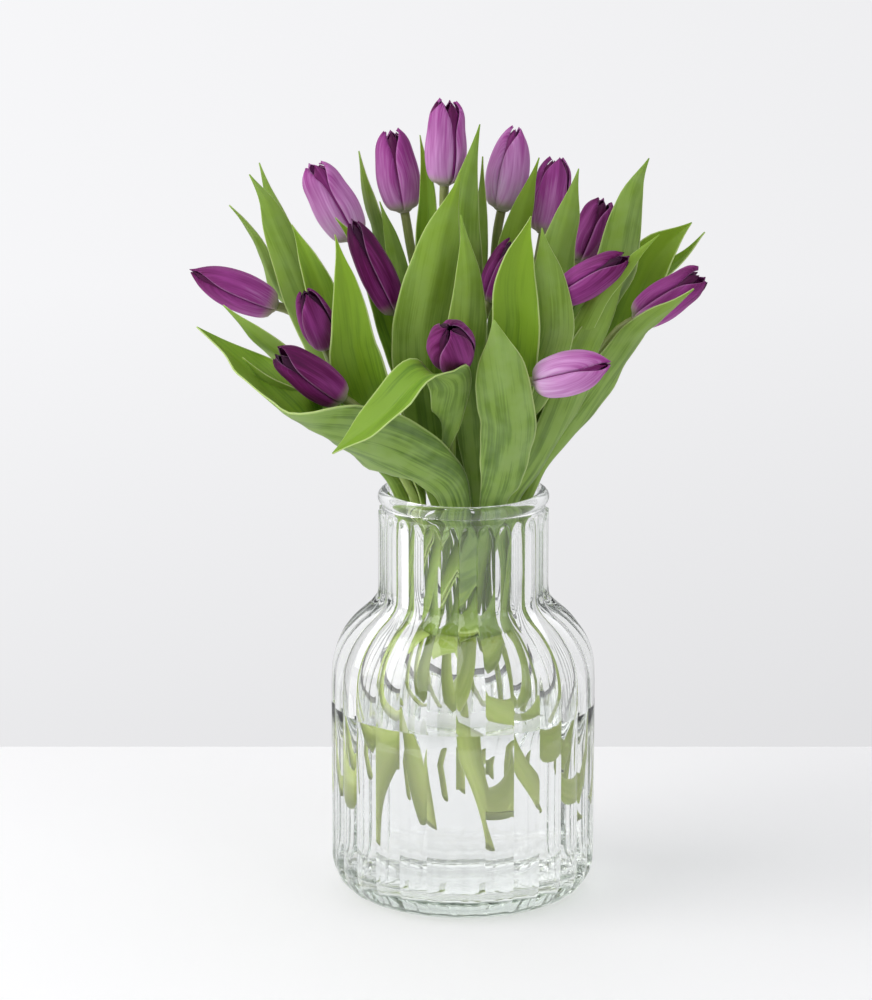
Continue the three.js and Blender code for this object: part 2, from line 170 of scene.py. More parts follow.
def clear_solid(name, colour, depth, ior, shadow):
    """Glass or water: `colour` is what a surface passes, and `depth` is white light after 10 cm of it.
    Shadow rays meet a see-through sheet of the colour `shadow`."""
    material, tree = new_material(name)
    surface = add(tree, "BsdfPrincipled", {}, {
        "Base Color": linear(colour), "Roughness": 0.0, "IOR": ior, "Transmission Weight": 1.0})
    sheet = add(tree, "BsdfTransparent", {}, {"Color": linear(shadow)})
    path = add(tree, "LightPath")
    choice = add(tree, "MixShader", {}, {
        0: path.outputs["Is Shadow Ray"], 1: surface.outputs[0], 2: sheet.outputs[0]})
    tint = add(tree, "VolumeAbsorption", {}, {"Color": linear(depth), "Density": DENSITY})
    add(tree, "OutputMaterial", {}, {"Surface": choice.outputs[0], "Volume": tint.outputs[0]})
    return material


soda_lime_glass = clear_solid("soda-lime glass, pressed", "#fefefe", "#d9e2dc", 1.52, "#eeefee")
still_water = clear_solid("still water", "#fefefe", "#fbfcfc", 1.333, "#fefefe")
print("clear materials:", soda_lime_glass.name, "|", still_water.name)

# %% [markdown]
# ## Tulip leaf
# A tulip leaf is a thick, satin blade with straight veins about 1 mm apart, running from foot to tip.
# A waxy bloom makes its under face grey-green. Its upper face is a fresher yellow-green, and its margin
# is a thin pale line. The veins follow the blade, so they can't come from plain Object coordinates:
# each leaf carries its own measurements in millimetres, as an attribute named `blade` (across, along,
# and a number that differs from leaf to leaf). A second one, `place`, says how near the margin a point
# is, how far along the leaf, and how yellow this leaf is.

# %% Leaf materials
VEIN_GAP, STREAK_GAP = 1.1, 5.0    # mm between two veins, and between two broader streaks
CLOUD = 0.014                      # metres across a soft patch where the wax is thicker


def leaf_skin(name, dark, mid, pale, tip, waxy):
    """One face of a leaf. Streaks run from `dark` through `mid` to `pale`, the end is `tip`, and `waxy`
    is how far the wax greys it."""
    material, tree = new_material(name)
    to_margin, along, sunned = measures(tree)
    veins = grain(tree, VEIN_GAP, 70, 7.3, roughness=0.6)
    streaks = grain(tree, STREAK_GAP, 60, 3.7, detail=3.0, roughness=0.55)
    where = add(tree, "TexCoord")
    clouds = add(tree, "TexNoise", {}, {
        "Vector": where.outputs["Object"], "Scale": 1 / CLOUD, "Detail": 2.0}).outputs["Fac"]
    blend = calc(tree, "MULTIPLY_ADD", veins, 0.6, streaks)
    blend = calc(tree, "MULTIPLY_ADD", clouds, 0.15, blend)
    green = add(tree, "ValToRGB", {"stops": [(0.58, dark), (0.78, mid), (0.91, pale)]}, {0: blend})

    # The end of the leaf, and a leaf that has had more light, are yellower.
    ends = softly(tree, along, 0.45, 1.0, 0.0, 0.6)
    yellow = calc(tree, "MULTIPLY_ADD", sunned, 0.55, ends, clamp=True)
    colour = laid_over(tree, yellow, green.outputs[0], linear(tip))
    # Wax lies in soft patches, and thickest on the leaves that have stayed bluish.
    patches = ranged(tree, clouds, 0.3, 0.7, 0.2 * waxy, waxy)
    bluish = calc(tree, "SUBTRACT", 1.0, sunned, clamp=True)
    colour = laid_over(tree, calc(tree, "MULTIPLY", patches, bluish), colour, linear("#98b078"))
    # Where it clasps the stem the leaf has seen little light, so it is pale.
    foot = softly(tree, along, -0.3, 0.16, 0.45, 0.0)
    colour = laid_over(tree, foot, colour, linear("#93ab3e"))
    # The margin is a pale line about half a millimetre wide.
    line = softly(tree, to_margin, 0.93, 0.99, 0.0, 0.7)
    colour = laid_over(tree, line, colour, linear("#c2d48c"))

    bumps = add(tree, "Bump", {}, {"Strength": 0.25, "Distance": 0.00025, "Height": veins})
    gloss = ranged(tree, clouds, 0.3, 0.7, 0.42, 0.55)
    surface = add(tree, "BsdfPrincipled", {}, {
        "Base Color": colour, "Roughness": gloss, "IOR": 1.42, "Specular IOR Level": 0.35,
        "Subsurface Weight": 0.2, "Subsurface Radius": (0.6, 1.0, 0.2), "Subsurface Scale": 0.0018,
        "Sheen Weight": 0.06, "Sheen Roughness": 0.4, "Sheen Tint": linear("#dfeadb"),
        "Normal": bumps.outputs[0]})
    add(tree, "OutputMaterial", {}, {"Surface": surface.outputs[0]})
    return material


leaf_under = leaf_skin("tulip leaf, waxy under face", "#2f4e0a", "#54751a", "#7d9b3e", "#7b9b22", 0.45)
leaf_upper = leaf_skin("tulip leaf, upper face", "#264a06", "#48740e", "#70961f", "#7a9c1e", 0.1)
print("leaf materials:", leaf_under.name, "|", leaf_upper.name)

# %% [markdown]
# ## Tulip stem
# A stem is round, smooth and full of water: pale yellow-green under water, fresher above it, with a
# breath of purple just under the bloom. Its `place` attribute holds how far up the stem a point is.

# %% Stem material
def stem_skin():
    """The skin of a stem, with fine lines 0.9 mm apart along it."""
    material, tree = new_material("tulip stem")
    height = measures(tree)[1]
    lines = grain(tree, 0.9, 40, 5.1)
    green = add(tree, "ValToRGB", {"stops": [(0.32, "#7f9636"), (0.68, "#a9b566")]}, {0: lines})
    rise = add(tree, "ValToRGB", {"stops": [
        (0.0, "#bcc47e"), (0.35, "#93a944"), (0.85, "#7f9a4c"), (1.0, "#84805e")]}, {0: height})
    colour = laid_over(tree, 0.6, green.outputs[0], rise.outputs[0])
    bumps = add(tree, "Bump", {}, {"Strength": 0.15, "Distance": 0.0002, "Height": lines})
    surface = add(tree, "BsdfPrincipled", {}, {
        "Base Color": colour, "Roughness": 0.4, "IOR": 1.42, "Subsurface Weight": 0.2,
        "Subsurface Radius": (0.7, 1.0, 0.25), "Subsurface Scale": 0.003, "Normal": bumps.outputs[0]})
    add(tree, "OutputMaterial", {}, {"Surface": surface.outputs[0]})
    return material


stem_green = stem_skin()
print("stem material:", stem_green.name)

# %% [markdown]
# ## Tulip petal
# A petal is a thin, silky leaf: satin, with hair-fine lines along it and a faint grey bloom outside.
# In this bunch the buds run from deep plum to lilac. Each bud carries its own tone in `place`, so one
# material serves them all. The foot of a petal is greenish white, and its margin is a shade lighter.

# %% Petal material
def petal_skin():
    """The skin of a petal, from plum to lilac by the third value of its `place` attribute."""
    material, tree = new_material("tulip petal")
    to_margin, along, own_tone = measures(tree)
    # Lines 0.7 mm apart, and broader bands 3 mm apart.
    lines = grain(tree, 0.7, 26, 5.3, roughness=0.6)
    bands = grain(tree, 3.0, 30, 2.9)
    mixed = calc(tree, "MULTIPLY_ADD", lines, 0.8, bands)
    tone = calc(tree, "ADD", own_tone, ranged(tree, mixed, 0.6, 1.2, -0.12, 0.12))
    # The upper half of a petal is deeper than its foot.
    tone = calc(tree, "ADD", tone, ranged(tree, along, 0.1, 1.0, 0.14, -0.16))
    purple = add(tree, "ValToRGB", {"stops": [
        (0.0, "#2e0427"), (0.3, "#5c0a4b"), (0.6, "#983f8c"), (0.85, "#c68bc3"), (1.0, "#dab2db")]}, {
        0: tone})
    foot = softly(tree, along, 0.0, 0.17, 0.85, 0.0)
    colour = laid_over(tree, foot, purple.outputs[0], linear("#b3b592"))
    margin = softly(tree, to_margin, 0.9, 1.0, 0.0, 0.3)
    colour = laid_over(tree, margin, colour, linear("#c59ac4"))
    bumps = add(tree, "Bump", {}, {"Strength": 0.25, "Distance": 0.0002, "Height": lines})
    surface = add(tree, "BsdfPrincipled", {}, {
        "Base Color": colour, "Roughness": 0.52, "IOR": 1.4, "Specular IOR Level": 0.25,
        "Subsurface Weight": 0.2, "Subsurface Radius": (1.0, 0.4, 0.9), "Subsurface Scale": 0.0015,
        "Sheen Weight": 0.07, "Sheen Roughness": 0.4, "Sheen Tint": linear("#e2b8dc"),
        "Normal": bumps.outputs[0]})
    add(tree, "OutputMaterial", {}, {"Surface": surface.outputs[0]})
    return material


petal_purple = petal_skin()
print("petal material:", petal_purple.name)

# %% [markdown]
# ## Finishing a piece
# Everything is modelled in millimetres, as a florist or a glass maker would measure it, and scaled to
# metres once, at the end. The same function hands the piece to the frame: it rides on the only body,
# and it stands for its plain solid if it has one.

# %% Finish a piece
triangles_made = {}


def finished(bm, name, solid, materials):
    """Turns a bmesh in millimetres into a smooth piece that replaces the plain solid `solid`, if any."""
    bmesh.ops.scale(bm, vec=(0.001, 0.001, 0.001), verts=bm.verts)
    mesh = bpy.data.meshes.new(name)
    bm.to_mesh(mesh)
    bm.free()
    for material in materials:
        mesh.materials.append(material)
    mesh.shade_smooth()
    piece = bpy.data.objects.new(name, mesh)
    bpy.context.collection.objects.link(piece)
    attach(piece, "root")
    if solid:
        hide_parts(solid)
    triangles_made[name] = sum(len(p.vertices) - 2 for p in mesh.polygons)
    return piece


# %% [markdown]
# ## Smooth lines through a few points
# A stem or a midrib is a springy line. It is set out by a few points, and a centripetal Catmull-Rom
# curve joins them without loops or overshoot. Places on it are asked for by share of its length.

# %% Lines
class Line:
    """A smooth line through points, read by share of its length."""

    def __init__(self, points, steps=40):
        p = [Vector(q) for q in points]
        p = [2 * p[0] - p[1]] + p + [2 * p[-1] - p[-2]]
        self.dots = []
        for a, b, c, d in zip(p, p[1:], p[2:], p[3:]):
            ka, kb, kc = (max(1e-4, (v - u).length ** 0.5) for u, v in ((a, b), (b, c), (c, d)))
            leave = ((b - a) / ka - (c - a) / (ka + kb) + (c - b) / kb) * kb
            arrive = ((c - b) / kb - (d - b) / (kb + kc) + (d - c) / kc) * kb
            for i in range(steps):
                t = i / steps
                self.dots.append(b + leave * t + (3 * (c - b) - 2 * leave - arrive) * t * t
                                 + (2 * (b - c) + leave + arrive) * t * t * t)
        self.dots.append(p[-2].copy())
        self.marks = [0.0]
        for u, v in zip(self.dots, self.dots[1:]):
            self.marks.append(self.marks[-1] + (v - u).length)
        self.length = self.marks[-1]

    def point(self, share):
        """Where that share of the line ends."""
        want = min(max(share, 0.0), 1.0) * self.length
        low, high = 0, len(self.marks) - 1
        while high - low > 1:
            middle = (low + high) // 2
            low, high = (middle, high) if self.marks[middle] <= want else (low, middle)
        between = (want - self.marks[low]) / (self.marks[high] - self.marks[low])
        return self.dots[low].lerp(self.dots[high], between)

    def heading(self, share):
        """The way the line runs there, one unit long."""
        near, far = max(0.0, share - 0.004), min(1.0, share + 0.004)
        return (self.point(far) - self.point(near)).normalized()

    def share_at_height(self, height):
        """For a line that climbs all the way."""
        low, high = 0.0, 1.0
        for _ in range(30):
            middle = (low + high) / 2
            low, high = (middle, high) if self.point(middle).z < height else (low, middle)
        return low


def mix(a, b, share):
    return a + (b - a) * share


def ease(low, high, x):
    """0 below `low`, 1 above `high`, and a smooth rise between them."""
    t = min(1.0, max(0.0, (x - low) / (high - low)))
    return t * t * (3 - 2 * t)


print("a quarter of the way:", Line([(0, 0, 0), (0, 0, 10), (5, 0, 20)]).point(0.25))

# %% [markdown]
# ## The fluted vase
# The vase is turned from one outline: a heavy foot, an upright body, a rounded shoulder, a neck and a
# rolled rim. Spinning that outline round Z is how a turner thinks, and it closes itself when the spin
# merges its ends. The 28 flutes are then pressed into the outer skin only: each one is a convex rib
# with a crisp groove on either side, and it ends in a small arch just under the rim. How deep they
# are matters: each rib is a lens, and it is what draws the stems out into stripes and spikes.

# %% The vase's outline
FLUTES, FACETS = 28, 10            # ribs round the vase, and flats across each rib
FIRST_GROOVE = math.radians(266.6)  # a little left of the front
BODY, NECK, WALL, FLOOR = 76.0, 48.0, 4.0, 12.0               # two radii and two thicknesses, mm
SHOULDER_Z, NECK_Z, STRAIGHT_Z, RIM_Z = 124.0, 184.0, 214, 235.0    # heights, mm
RIM_RADIUS, BEAD = 45.3, 4.0       # the middle of the rolled rim, and its own radius
HEEL, INNER_HEEL = 22, 16          # how high the rounded edge underfoot climbs, outside and inside
WATER_LEVEL = 112.0
# The shoulder, as shares: 1 is the body's radius and 0 the neck's, and the height runs from 0 to 1.
SHOULDER = [(1, 0), (0.961, 0.25), (0.807, 0.45), (0.518, 0.633), (0.179, 0.775), (0.021, 0.883), (0, 1)]


def shoulder_line(inset, count=22):
    """From the body up to the neck, `inset` inside the outer skin, as (radius, height) pairs."""
    points = []
    for out, up in SHOULDER:
        lowered = 0.6 * inset if 0 < up < 1 else 0.0      # so that the slope is as thick as the wall
        height = SHOULDER_Z + (NECK_Z - SHOULDER_Z) * up - lowered
        points.append((mix(NECK, BODY, out) - inset, 0.0, height))
    line = Line(points)
    return [(p.x, p.z) for p in (line.point(i / count) for i in range(count + 1))]


def heel_line(radius, bottom, flat, top, count):
    """A quarter turn from the flat underfoot up to the wall."""
    turns = [i / count * math.pi / 2 for i in range(count + 1)]
    return [(flat + (radius - flat) * math.sin(a), top - (top - bottom) * math.cos(a)) for a in turns]


def steps_up(radius, low, high, count):
    """The points between two heights on an upright wall."""
    return [(radius, mix(low, high, i / count)) for i in range(1, count)]


bead = [(RIM_RADIUS + BEAD * math.cos(a), RIM_Z + BEAD * math.sin(a))
        for a in (math.radians(mix(-62, 242, i / 20)) for i in range(21))]
inner_heel = heel_line(BODY - WALL, FLOOR, 52, FLOOR + INNER_HEEL, 10)
outer_line = (
    [(0, 1.2), (30, 1.2), (50, 1.0), (55, 0.0)]
    + heel_line(BODY, 0, 58, HEEL, 12)
    + steps_up(BODY, HEEL, SHOULDER_Z, 10)
    + shoulder_line(0)
    + steps_up(NECK, NECK_Z, STRAIGHT_Z, 5)
    + [(NECK, STRAIGHT_Z + i) for i in range(16)]
)
inner_line = (
    steps_up(NECK - WALL, RIM_Z - 6, NECK_Z, 6)
    + shoulder_line(WALL)[::-1]
    + steps_up(BODY - WALL, SHOULDER_Z, FLOOR + INNER_HEEL, 8)
    + inner_heel[::-1]
    + [(40, FLOOR + 0.4), (20, FLOOR + 1.2), (0, FLOOR + 1.6)]
)
outline = outer_line + bead + inner_line
print("points in the outline:", len(outline))
print("the glass is", WALL, "mm thick at the wall and", FLOOR, "mm underfoot")

# %% Turn the vase and press its flutes
RIB_BODY, RIB_NECK, GROOVE = 1.5, 2.2, 1.0     # how tall the ribs are, and how deep the grooves lie, mm
FADE_IN = 7.0                                  # the flutes grow out of the foot over this height, mm
ARCH_Z, ARCH_HEIGHT, FLUTED_TO = 217, 11, 230  # where an arch starts, its height, and the last groove


def turned(points, facets):
    """Spins an outline of (radius, height) pairs once round Z, from the first groove."""
    bm = bmesh.new()
    spot = [bm.verts.new((r * math.cos(FIRST_GROOVE), r * math.sin(FIRST_GROOVE), z)) for r, z in points]
    for u, v in zip(spot, spot[1:]):
        bm.edges.new((u, v))
    bmesh.ops.spin(bm, geom=bm.verts[:] + bm.edges[:], cent=(0, 0, 0), axis=(0, 0, 1),
                   angle=2 * math.pi, steps=facets, use_merge=True)
    bmesh.ops.remove_doubles(bm, verts=bm.verts, dist=0.001)
    bmesh.ops.recalc_face_normals(bm, faces=bm.faces)
    return bm


def from_rib(v):
    """0 on the middle line of a rib, 1 in the groove beside it."""
    turn = (math.atan2(v.co.y, v.co.x) - FIRST_GROOVE) / (2 * math.pi / FLUTES)
    return abs(2 * (turn % 1.0) - 1)


def rib(from_middle, height):
    """How far the pressed skin lies from the turned one, by the place across a rib and the height."""
    arch = math.sqrt(max(0.0, 1 - max(0.0, (height - ARCH_Z) / ARCH_HEIGHT) ** 2))
    if arch < 0.02:
        return -GROOVE
    fade = ease(0.0, FADE_IN, height)
    proud = mix(RIB_BODY, RIB_NECK, ease(SHOULDER_Z, NECK_Z, height)) * fade
    return proud * max(0.0, 1 - (from_middle / arch) ** 2) - GROOVE * fade


glass = turned(outline, FLUTES * FACETS)
skin = {round(z, 2): r for r, z in outer_line[4:]}       # the first four points lie underfoot
grooves = set()
for v in glass.verts:
    r = math.hypot(v.co.x, v.co.y)
    if abs(skin.get(round(v.co.z, 2), -1) - r) < 0.02 and v.co.z < FLUTED_TO:
        across = from_rib(v)
        v.co += Vector((v.co.x, v.co.y, 0)).normalized() * rib(across, v.co.z)
        if across > 0.99:
            grooves.add(v)
for e in glass.edges:              # a groove is a crisp line: the shading breaks there
    e.smooth = not grooves.issuperset(e.verts)
finished(glass, "vase_glass", "vase", [soda_lime_glass])
print("the vase:", triangles_made["vase_glass"], "triangles")

# %% [markdown]
# ## The water
# Water wets glass, so its body reaches right into the wall with no film of air between them: the two
# solids overlap by 0.3 mm. At the edge the surface climbs the glass a little, the meniscus.

# %% Pour the water
REACH = 0.3                        # how far the water reaches into the glass, mm
wet_wall = [(r + REACH if r > 50 else r, z - REACH) for r, z in inner_heel]
meniscus = [(BODY - WALL + REACH, WATER_LEVEL + 0.5), (71.6, WATER_LEVEL + 0.35),
            (71.0, WATER_LEVEL + 0.12), (70.0, WATER_LEVEL)]
poured = (
    [(0, FLOOR + 1.6 - REACH), (20, FLOOR + 1.2 - REACH), (40, FLOOR + 0.4 - REACH)]
    + wet_wall
    + steps_up(BODY - WALL + REACH, FLOOR + INNER_HEEL, WATER_LEVEL, 5)
    + meniscus
    + [(30, WATER_LEVEL), (0, WATER_LEVEL)]
)
finished(turned(poured, FLUTES * 5), "vase_water", "water", [still_water])
print("the water:", triangles_made["vase_water"], "triangles, surface at", WATER_LEVEL, "mm")

# %% [markdown]
# ## The bunch, in numbers
# Each tulip hangs with its foot in the water, `foot` mm above the table, passes just inside the rim
# at `neck` (an angle and a distance from the vase's axis), and ends at `crown`, where the bloom
# begins. The bloom points from `crown` to `tip`, is `girth` mm across and is turned by `turn`
# degrees. `loose` is how far its top stands apart, as a share of its radius, and `tone` runs from 0,
# plum, to 1, lilac.
#
# A leaf clasps its stem at height `base`, on the side `side`, in degrees. It is `width` mm wide, most
# of all at the share `widest` of its length, and its section bends round by `cup` degrees. Its outer,
# convex face looks the ways that `faces` lists from foot to tip, and its midrib follows `path`. The
# larger `blunt` is, the later it narrows, and `yellow` is how much light it has had.

# %% Tulips
NECK_HEIGHT, SWING = 222, 80       # where `neck` is measured, and how far round the feet are from there
FRONT, BEHIND, BELOW_BEHIND = (0, -1, 0), (0, 1, 0), (0.4, 0.6, -0.8)


def tulip(foot, neck, crown, tip, girth, turn, loose, tone, *leaves):
    return {"foot": foot, "neck": neck, "crown": crown, "tip": tip, "girth": girth, "turn": turn,
            "loose": loose, "tone": tone, "leaves": leaves}


def leaf(base, side, width, cup, faces, path, widest=0.45, blunt=2.5, yellow=0.4):
    return {"base": base, "side": side, "width": width, "cup": cup, "faces": faces, "path": path,
            "widest": widest, "blunt": blunt, "yellow": yellow}


tulips = [
    tulip(44, (110, 12), (-11, 20, 413), (-10, 18, 462), 24, 127, 0.3, 0.75,
          leaf(204, 290, 26, 60, [FRONT],
               [(-2, 4, 240), (-1, 3, 292), (1, 5, 349), (2, 6, 401), (9, 8, 449)], yellow=0.35),
          leaf(250, 110, 15, 60, [BEHIND],
               [(-11, 22, 285), (-18, 27, 331), (-22, 29, 377), (-22, 30, 406), (-25, 32, 439)])),
    tulip(48, (115, 31), (-34, 40, 394), (-42, 42, 441), 25, 94, 0.15, 0.66,
          leaf(270, 40, 24, 60, [BEHIND], [(-10, 46, 285), (-6, 62, 315), (-4, 73, 348), (-8, 78, 374)]),
          leaf(248, 200, 19, 70, [(-0.8, -0.6, 0)],
               [(-27, 34, 280), (-42, 38, 331), (-50, 42, 377), (-57, 43, 406), (-60, 43, 428)],
               yellow=0.2)),
    tulip(40, (145, 31), (-63, 28, 380), (-87, 30, 423), 26, 107, 0.25, 0.8,
          leaf(246, 140, 20, 70, [(-0.8, 0.8, 0), (-0.5, -0.9, 0)],
               [(-50, 30, 275), (-77, 36, 320), (-100, 38, 366), (-112, 38, 401), (-117, 38, 422)],
               yellow=0.1),
          leaf(264, 290, 14, 60, [FRONT],
               [(-30, 17, 290), (-35, 20, 345), (-41, 24, 374), (-48, 24, 402)])),
    tulip(50, (230, 12), (-38, -10, 344), (-63, -16, 398), 20, 93, 0.1, 0.3,
          leaf(198, 275, 37, 60, [FRONT],
               [(-13, -16, 240), (-16, -19, 262), (-21, -26, 299), (-23, -31, 340), (-16, -32, 391),
                (-2, -28, 427)], widest=0.58, blunt=1.9, yellow=0.6),
          leaf(248, 100, 18, 50, [BEHIND],
               [(-22, 0, 272), (-38, 5, 325), (-51, 5, 359), (-63, 5, 382), (-73, 5, 396)])),
    tulip(55, (175, 31), (-107, -5, 347), (-155, -12, 369), 23, 90, -0.1, 0.52,
          leaf(246, 290, 27, 60, [(0.2, -1, 0)],
               [(-50, -5, 270), (-70, -7, 310), (-91, -10, 356), (-106, -10, 388), (-113, -10, 408),
                (-121, -8, 423)]),
          leaf(248, 110, 16, 70, [(-0.9, 0.4, 0), (-0.7, -0.7, 0)],
               [(-52, 13, 268), (-80, 18, 317), (-106, 14, 352), (-119, 10, 382), (-126, 8, 394),
                (-133, 6, 403)], yellow=0.2)),
    tulip(42, (203, 31), (-78, -32, 330), (-89, -54, 365), 20, 45, 0.0, 0.5,
          leaf(268, 60, 20, 60, [BEHIND],
               [(-55, -12, 290), (-66, -15, 313), (-80, -21, 353), (-89, -21, 376), (-97, -17, 396)]),
          leaf(247, 225, 18, 70, [(0, -0.8, -0.6)],
               [(-57, -24, 270), (-78, -36, 300), (-104, -40, 325), (-121, -40, 340), (-135, -38, 354)])),
    tulip(60, (230, 30.5), (-68, -62, 306), (-104, -74, 336), 23, 89, 0.2, 0.33,
          leaf(246, 45, 34, 50, [BEHIND],
               [(-42, -34, 275), (-53, -46, 299), (-64, -52, 340), (-70, -52, 375), (-72, -48, 396)],
               blunt=1.3, yellow=0.75)),
    tulip(46, (262, 31), (-6, -60, 327), (-9, -100, 354), 27, 60, -0.08, 0.48,
          leaf(196, 275, 48, 100, [FRONT, (0, -0.9, -0.4), (0, -0.9, -0.4), (0, -0.7, -0.7), (0, 0.1, -1)],
               [(-4, -38, 236), (-9, -46, 251), (-26, -61, 266), (-46, -70, 278), (-67, -75, 286),
                (-88, -74, 295), (-108, -63, 308), (-127, -50, 323), (-150, -40, 342)],
               widest=0.5, yellow=0.1),
          leaf(264, 190, 30, 60, [FRONT, (0.2, -0.9, -0.3), (0.2, 0.2, -0.9), (0.3, 0.6, -0.7)],
               [(-12, -42, 278), (-9, -60, 297), (-8, -79, 319), (-22, -92, 327), (-46, -98, 307),
                (-73, -96, 282)], widest=0.58, yellow=0.4)),
    tulip(52, (80, 31), (22, 44, 394), (31, 48, 442), 25, 66, 0, 0.82,
          leaf(246, 190, 13, 60, [(-0.6, -0.8, 0)],
               [(2, 38, 280), (6, 40, 339), (10, 37, 374), (11, 34, 403), (11, 36, 426)]),
          leaf(262, 30, 26, 60, [BEHIND], [(18, 50, 285), (26, 64, 315), (32, 76, 350), (30, 82, 378)])),
    tulip(58, (50, 31), (46, 40, 381), (54, 46, 424), 23, 45, 0.2, 0.64,
          leaf(250, 230, 23, 60, [FRONT],
               [(22, 19, 285), (24, 21, 327), (30, 24, 374), (38, 26, 405), (43, 26, 427)],
               blunt=2, yellow=0.8),
          leaf(248, 40, 18, 70, [BELOW_BEHIND],
               [(42, 34, 275), (79, 42, 324), (108, 44, 350), (128, 44, 366), (139, 42, 381)])),
    tulip(43, (20, 31), (66, 28, 366), (81, 34, 402), 21, 95, 0.25, 0.54,
          leaf(248, 250, 25, 60, [FRONT],
               [(38, 4, 275), (46, 4, 315), (54, 5, 370), (61, 6, 397), (65, 6, 424)]),
          leaf(285, 310, 26, 60, [(0.1, -1, 0)],
               [(59, 11, 315), (75, 9, 342), (88, 9, 370), (95, 10, 395), (99, 11, 413), (105, 12, 429)],
               yellow=0.15)),
    tulip(50, (322, 31), (54, -34, 358), (91, -48, 384), 21, 60, 0.1, 0.46,
          leaf(262, 260, 27, 50, [FRONT],
               [(30, -35, 288), (39, -44, 312), (48, -50, 337), (50, -50, 366), (43, -50, 400)]),
          leaf(204, 325, 31, 80, [(0.8, -0.6, -0.3), (0.5, -1, -0.3)],
               [(30, -24, 237), (41, -27, 256), (55, -31, 284), (71, -31, 324), (82, -28, 347),
                (90, -26, 369)])),
    tulip(57, (350, 31), (98, -4, 339), (136, -10, 366), 23, 60, 0.25, 0.54,
          leaf(282, 60, 32, 70, [(0.2, 1, -0.3)],
               [(75, 7, 306), (91, 23, 326), (99, 32, 345), (112, 35, 366), (131, 34, 388)],
               widest=0.55, yellow=0.9),
          leaf(246, 300, 24, 60, [(0.4, -0.8, -0.5)],
               [(54, -13, 268), (70, -14, 292), (92, -17, 325), (105, -27, 342), (119, -31, 353),
                (129, -31, 362)])),
    tulip(45, (300, 31), (40, -69, 317), (81, -88, 331), 25, 60, -0.12, 0.81,
          leaf(206, 280, 32, 40, [FRONT],
               [(17, -35.5, 236), (21, -51, 256), (24, -69, 284), (24, -84, 318), (20, -87, 341),
                (16, -84, 355)], widest=0.62, blunt=3.4, yellow=0.1),
          leaf(262, 60, 29, 50, [BEHIND],
               [(24, -46, 290), (29, -56, 343), (31, -56, 372), (37, -52, 407)], yellow=0.75)),
    tulip(56, (350, 12), (15, -4, 350), (28, -9, 386), 19, 60, 0, 0.4,
          leaf(208, 245, 26, 40, [FRONT],
               [(7, -13, 250), (4, -27, 290), (0, -41, 325), (0, -44, 371), (-2, -42, 406)],
               widest=0.55, blunt=1.7, yellow=0.45)),
]
print("tulips:", len(tulips), "| leaves:", sum(len(t["leaves"]) for t in tulips))

# %% [markdown]
# ## Stems
# A stem is a long round rod on a bent line, a little thicker at the foot than under the bloom, and cut
# on a slant. A circle is set square to the line at each step and bridged to the one before. A curve
# with a bevel would do it too, but rings let each point remember how far up the stem it is.

# %% Stem lines and rods
STEM_FOOT, STEM_CROWN, SIDES = 3.0, 2.7, 14    # two radii in mm, and the corners of a ring
RING_STEP = 6                                  # mm from ring to ring
SLANT = 7.0                                    # how much longer one side of the cut foot is, mm
FOOT_SPREAD, FOOT_MARGIN = 2.0, 4.0            # feet stand twice as far out as in the neck, and 4 mm more
UPRIGHT, SEATED = 14, 0.6                      # mm that run along the bloom's axis, and into its seat


def on_circle(degrees, radius, height):
    """A point round the vase's axis."""
    a = math.radians(degrees)
    return Vector((radius * math.cos(a), radius * math.sin(a), height))


def bloom_axis(t):
    return (Vector(t["tip"]) - Vector(t["crown"])).normalized()


def stem_line(t):
    angle, distance = t["neck"]
    crown, axis = Vector(t["crown"]), bloom_axis(t)
    return Line([on_circle(angle + SWING, distance * FOOT_SPREAD + FOOT_MARGIN, t["foot"]),
                 on_circle(angle, distance, NECK_HEIGHT), crown - UPRIGHT * axis, crown + SEATED * axis])


def stem_radius(share):
    return mix(STEM_FOOT, STEM_CROWN, share)


def labels(bm):
    """The two measurements that the skins read: see the text on the tulip leaf."""
    return bm.verts.layers.float_vector.new("blade"), bm.verts.layers.float_vector.new("place")


CUT = Matrix.Translation((0, 0, SLANT / 2))
CUT[2][0] = SLANT / 2 / STEM_FOOT              # and it climbs from one side of the ring to the other


def stem_rod(line, number):
    """A stem as a closed rod on `line`."""
    bm = bmesh.new()
    blade, place = labels(bm)
    rings, count = [], int(line.length / RING_STEP)
    for i in range(count + 1):
        share = i / count
        upright = line.heading(share).to_track_quat("Z", "Y").to_matrix().to_4x4()
        here = Matrix.Translation(line.point(share)) @ upright
        ring = bmesh.ops.create_circle(bm, segments=SIDES, radius=stem_radius(share), matrix=here)["verts"]
        if i == 0:                             # the knife goes through on a slant
            bmesh.ops.transform(bm, matrix=here @ CUT @ here.inverted(), verts=ring)
        for j, v in enumerate(ring):
            v[blade] = Vector((j / SIDES * 2 * math.pi * STEM_FOOT, share * line.length, number))
            v[place] = Vector((0.0, share, 0.5))
        rings.append(ring)
    for low, high in zip(rings, rings[1:]):
        loops = [e for ring in (low, high) for v in ring for e in v.link_edges if e.other_vert(v) in ring]
        bmesh.ops.bridge_loops(bm, edges=list(set(loops)))
    for ring in (rings[0], rings[-1]):
        loop = list({e for v in ring for e in v.link_edges if e.is_boundary})
        bmesh.ops.contextual_create(bm, geom=loop)
    bmesh.ops.recalc_face_normals(bm, faces=bm.faces)
    return bm


stems = [stem_line(t) for t in tulips]
for number, (t, line) in enumerate(zip(tulips, stems), 1):
    rod = stem_rod(line, number)
    finished(rod, f"stem_{number:02d}", f"tulip_{number:02d}_stem", [stem_green])
print("longest stem:", round(max(line.length for line in stems)), "mm")

